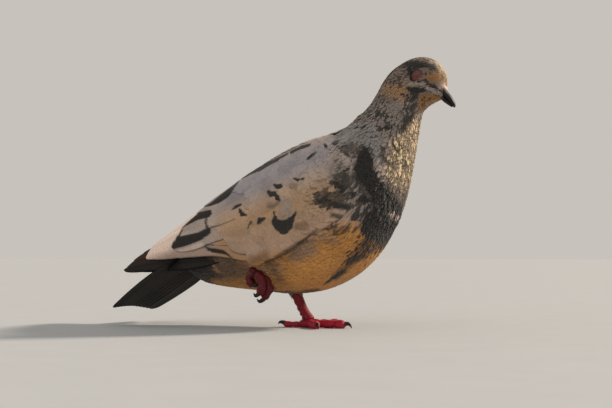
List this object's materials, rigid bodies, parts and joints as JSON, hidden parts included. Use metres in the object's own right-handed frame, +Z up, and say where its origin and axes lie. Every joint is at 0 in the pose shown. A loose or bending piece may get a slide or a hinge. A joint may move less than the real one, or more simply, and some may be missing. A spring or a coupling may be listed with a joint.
{
  "type": "pigeon",
  "caption": "Still, life-size model of a pied pigeon standing on its left leg, its right foot tucked under the belly, wings folded.",
  "frame": {"origin": "on the floor, under the sole of the standing left foot", "axes": "+X the way the bird faces, +Y its left side, +Z up"},
  "size_m": [0.2505, 0.0876, 0.1838],
  "materials": {
    "pale_feathers": "soft, matt contour feathers, off-white to buff with charcoal flecks",
    "mottled_feathers": "short feathers, grey-mauve and cream, streaked with charcoal",
    "flight_feathers": "firm vanes with a low sheen, charcoal-brown",
    "leg_scales": "semi-matt crimson scales",
    "horn": "smooth dark horn of the bill and the claws",
    "cere": "powdery pinkish-white skin above the bill",
    "eye": "wet orange-red iris round a black pupil"
  },
  "bodies": {
    "root": {"bill_lower": "horn", "bill_upper": "horn", "cere": "cere", "claw_left_1": "horn", "claw_left_2": "horn", "claw_left_3": "horn", "claw_left_4": "horn", "claw_right_1": "horn", "claw_right_2": "horn", "claw_right_3": "horn", "claw_right_4": "horn", "eye_left": "eye", "eye_right": "eye", "head": "mottled_feathers", "knuckle_right": "leg_scales", "neck": "mottled_feathers", "shank_left": "leg_scales", "shank_right": "leg_scales", "sole_left": "leg_scales", "tail": "flight_feathers", "thigh_left": "pale_feathers", "thigh_right": "pale_feathers", "toe_left_1": "leg_scales", "toe_left_2": "leg_scales", "toe_left_3": "leg_scales", "toe_left_4": "leg_scales", "toe_right_1": "leg_scales", "toe_right_2": "leg_scales", "toe_right_3": "leg_scales", "toe_right_4": "leg_scales", "trunk": "pale_feathers", "wing_left_coverts": "pale_feathers", "wing_left_primaries": "flight_feathers", "wing_left_secondaries": "pale_feathers", "wing_right_coverts": "pale_feathers", "wing_right_primaries": "flight_feathers", "wing_right_secondaries": "pale_feathers"}
  },
  "joints": []
}
